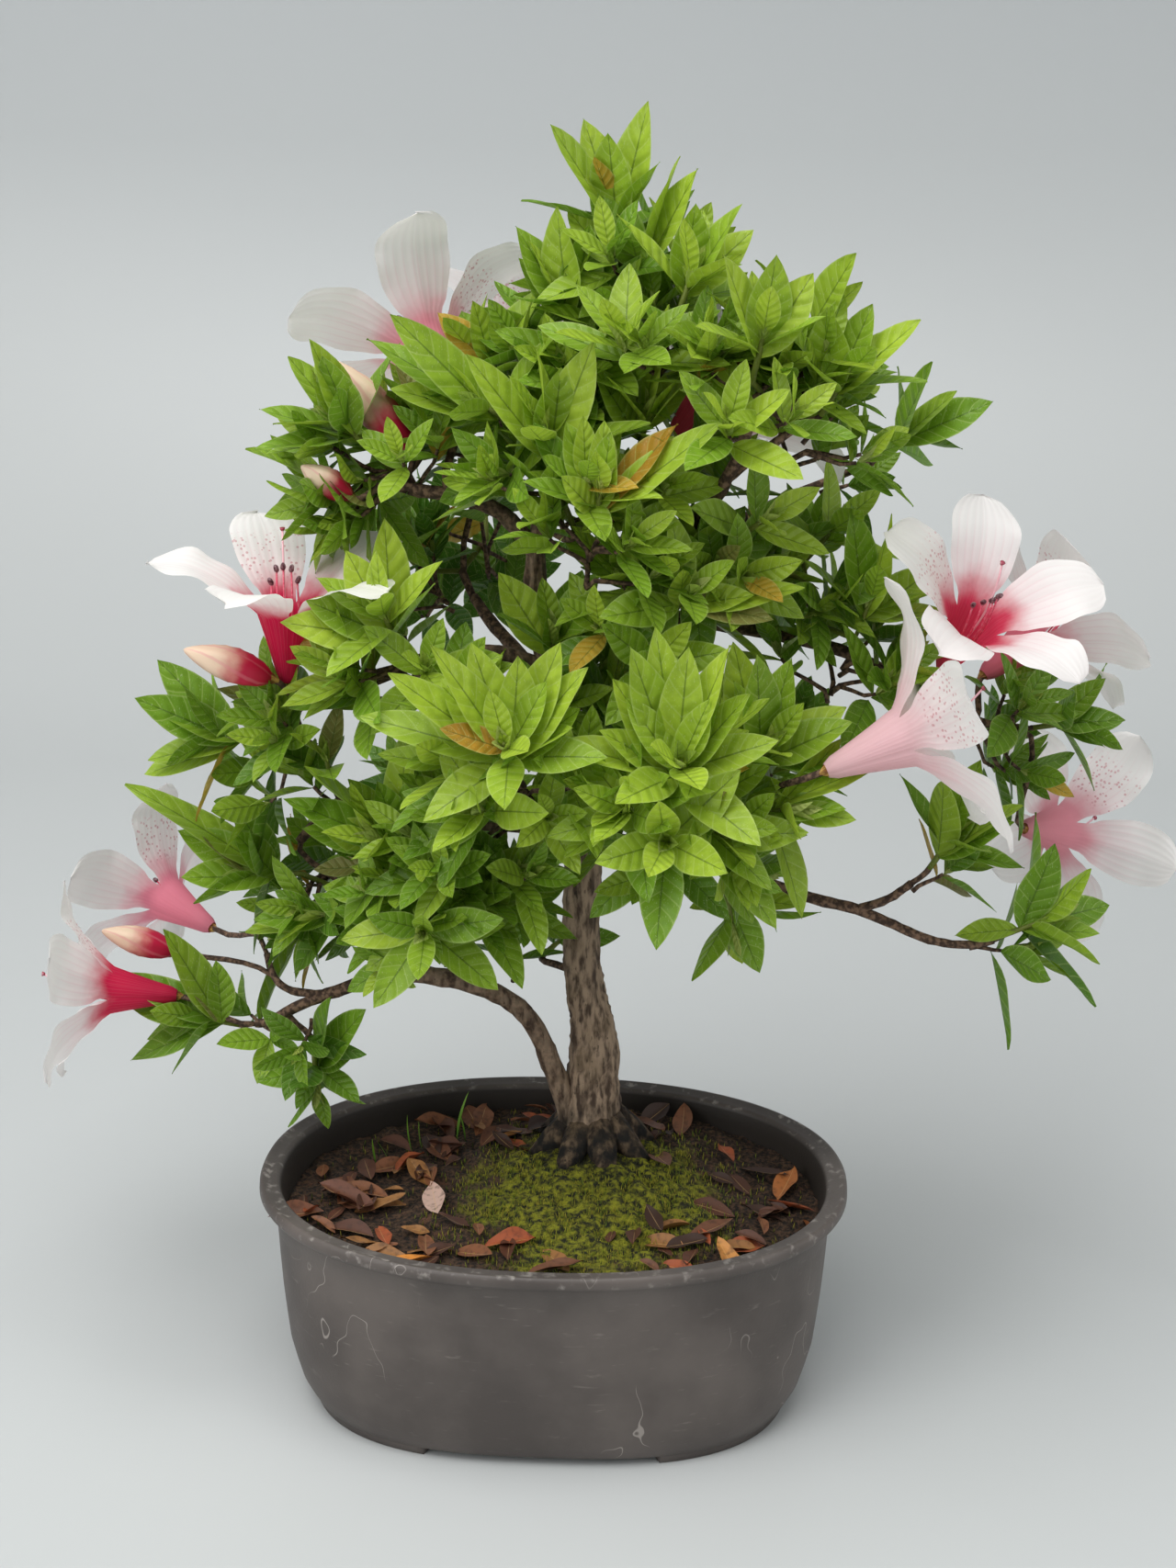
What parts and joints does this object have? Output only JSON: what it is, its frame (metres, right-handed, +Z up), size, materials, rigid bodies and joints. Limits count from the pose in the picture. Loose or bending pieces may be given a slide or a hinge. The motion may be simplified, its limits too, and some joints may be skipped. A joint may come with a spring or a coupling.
{
  "type": "potted azalea bonsai",
  "caption": "Flowering satsuki azalea bonsai with a slender trunk, spreading leafy branches and white and crimson blooms, in an oval training pot.",
  "frame": {"origin": "centre of the whole plant's bounding box seen from above, at the underside of the pot's feet", "axes": "+Z up, +X to the right and -Y towards a viewer who faces the front of the tree"},
  "size_m": [0.3956, 0.219, 0.4096],
  "materials": {
    "moulded_plastic": "matt grey-brown moulded plastic, scuffed",
    "mossy_soil": "damp mossy soil with fallen leaves",
    "azalea_bark": "flaky grey-brown bark",
    "petal_blush_white": "soft satin petal",
    "stamen_red": "soft",
    "bud_cream_and_crimson": "soft satin petal",
    "azalea_leaf": "fresh green leaf with a soft sheen"
  },
  "bodies": {
    "root": {"pot": "moulded_plastic", "soil": "mossy_soil", "trunk": "azalea_bark", "bloom_upper_left": "petal_blush_white", "stamens_upper_left": "stamen_red", "bloom_upper_left_back": "petal_blush_white", "stamens_upper_left_back": "stamen_red", "bloom_upper_right": "petal_blush_white", "stamens_upper_right": "stamen_red", "bloom_left": "petal_blush_white", "stamens_left": "stamen_red", "bloom_right": "petal_blush_white", "stamens_right": "stamen_red", "bloom_right_back": "petal_blush_white", "stamens_right_back": "stamen_red", "bloom_right_front": "petal_blush_white", "stamens_right_front": "stamen_red", "bloom_far_right": "petal_blush_white", "stamens_far_right": "stamen_red", "bloom_far_left": "petal_blush_white", "stamens_far_left": "stamen_red", "bloom_low_left": "petal_blush_white", "stamens_low_left": "stamen_red", "bud_upper_left": "bud_cream_and_crimson", "bud_upper_left_low": "bud_cream_and_crimson", "bud_left": "bud_cream_and_crimson", "bud_low_left": "bud_cream_and_crimson", "shoot_apex": "azalea_leaf", "shoot_crown_left": "azalea_leaf", "shoot_crown_front": "azalea_leaf", "shoot_crown_right": "azalea_leaf", "shoot_upper_right": "azalea_leaf", "shoot_outer_right": "azalea_leaf", "shoot_far_right": "azalea_leaf", "shoot_upper_left": "azalea_leaf", "shoot_left_front": "azalea_leaf", "shoot_centre": "azalea_leaf", "shoot_front_left": "azalea_leaf", "shoot_front_right": "azalea_leaf", "shoot_front_low": "azalea_leaf", "shoot_low_left": "azalea_leaf", "shoot_low_hanging": "azalea_leaf", "shoot_left_back": "azalea_leaf", "shoot_left_side": "azalea_leaf", "shoot_left_bright": "azalea_leaf", "shoot_right_middle": "azalea_leaf", "shoot_right_low": "azalea_leaf", "shoot_right_side": "azalea_leaf", "shoot_right_back": "azalea_leaf", "shoot_right_twig": "azalea_leaf", "shoot_right_tip": "azalea_leaf", "shoot_right_hanging": "azalea_leaf", "shoot_low_tip": "azalea_leaf", "shoot_low_left_tip": "azalea_leaf", "shoot_behind_trunk": "azalea_leaf", "shoot_back_upper": "azalea_leaf", "shoot_back_left": "azalea_leaf", "shoot_back_right": "azalea_leaf", "shoot_back_low_left": "azalea_leaf", "shoot_back_low_right": "azalea_leaf"}
  },
  "joints": []
}
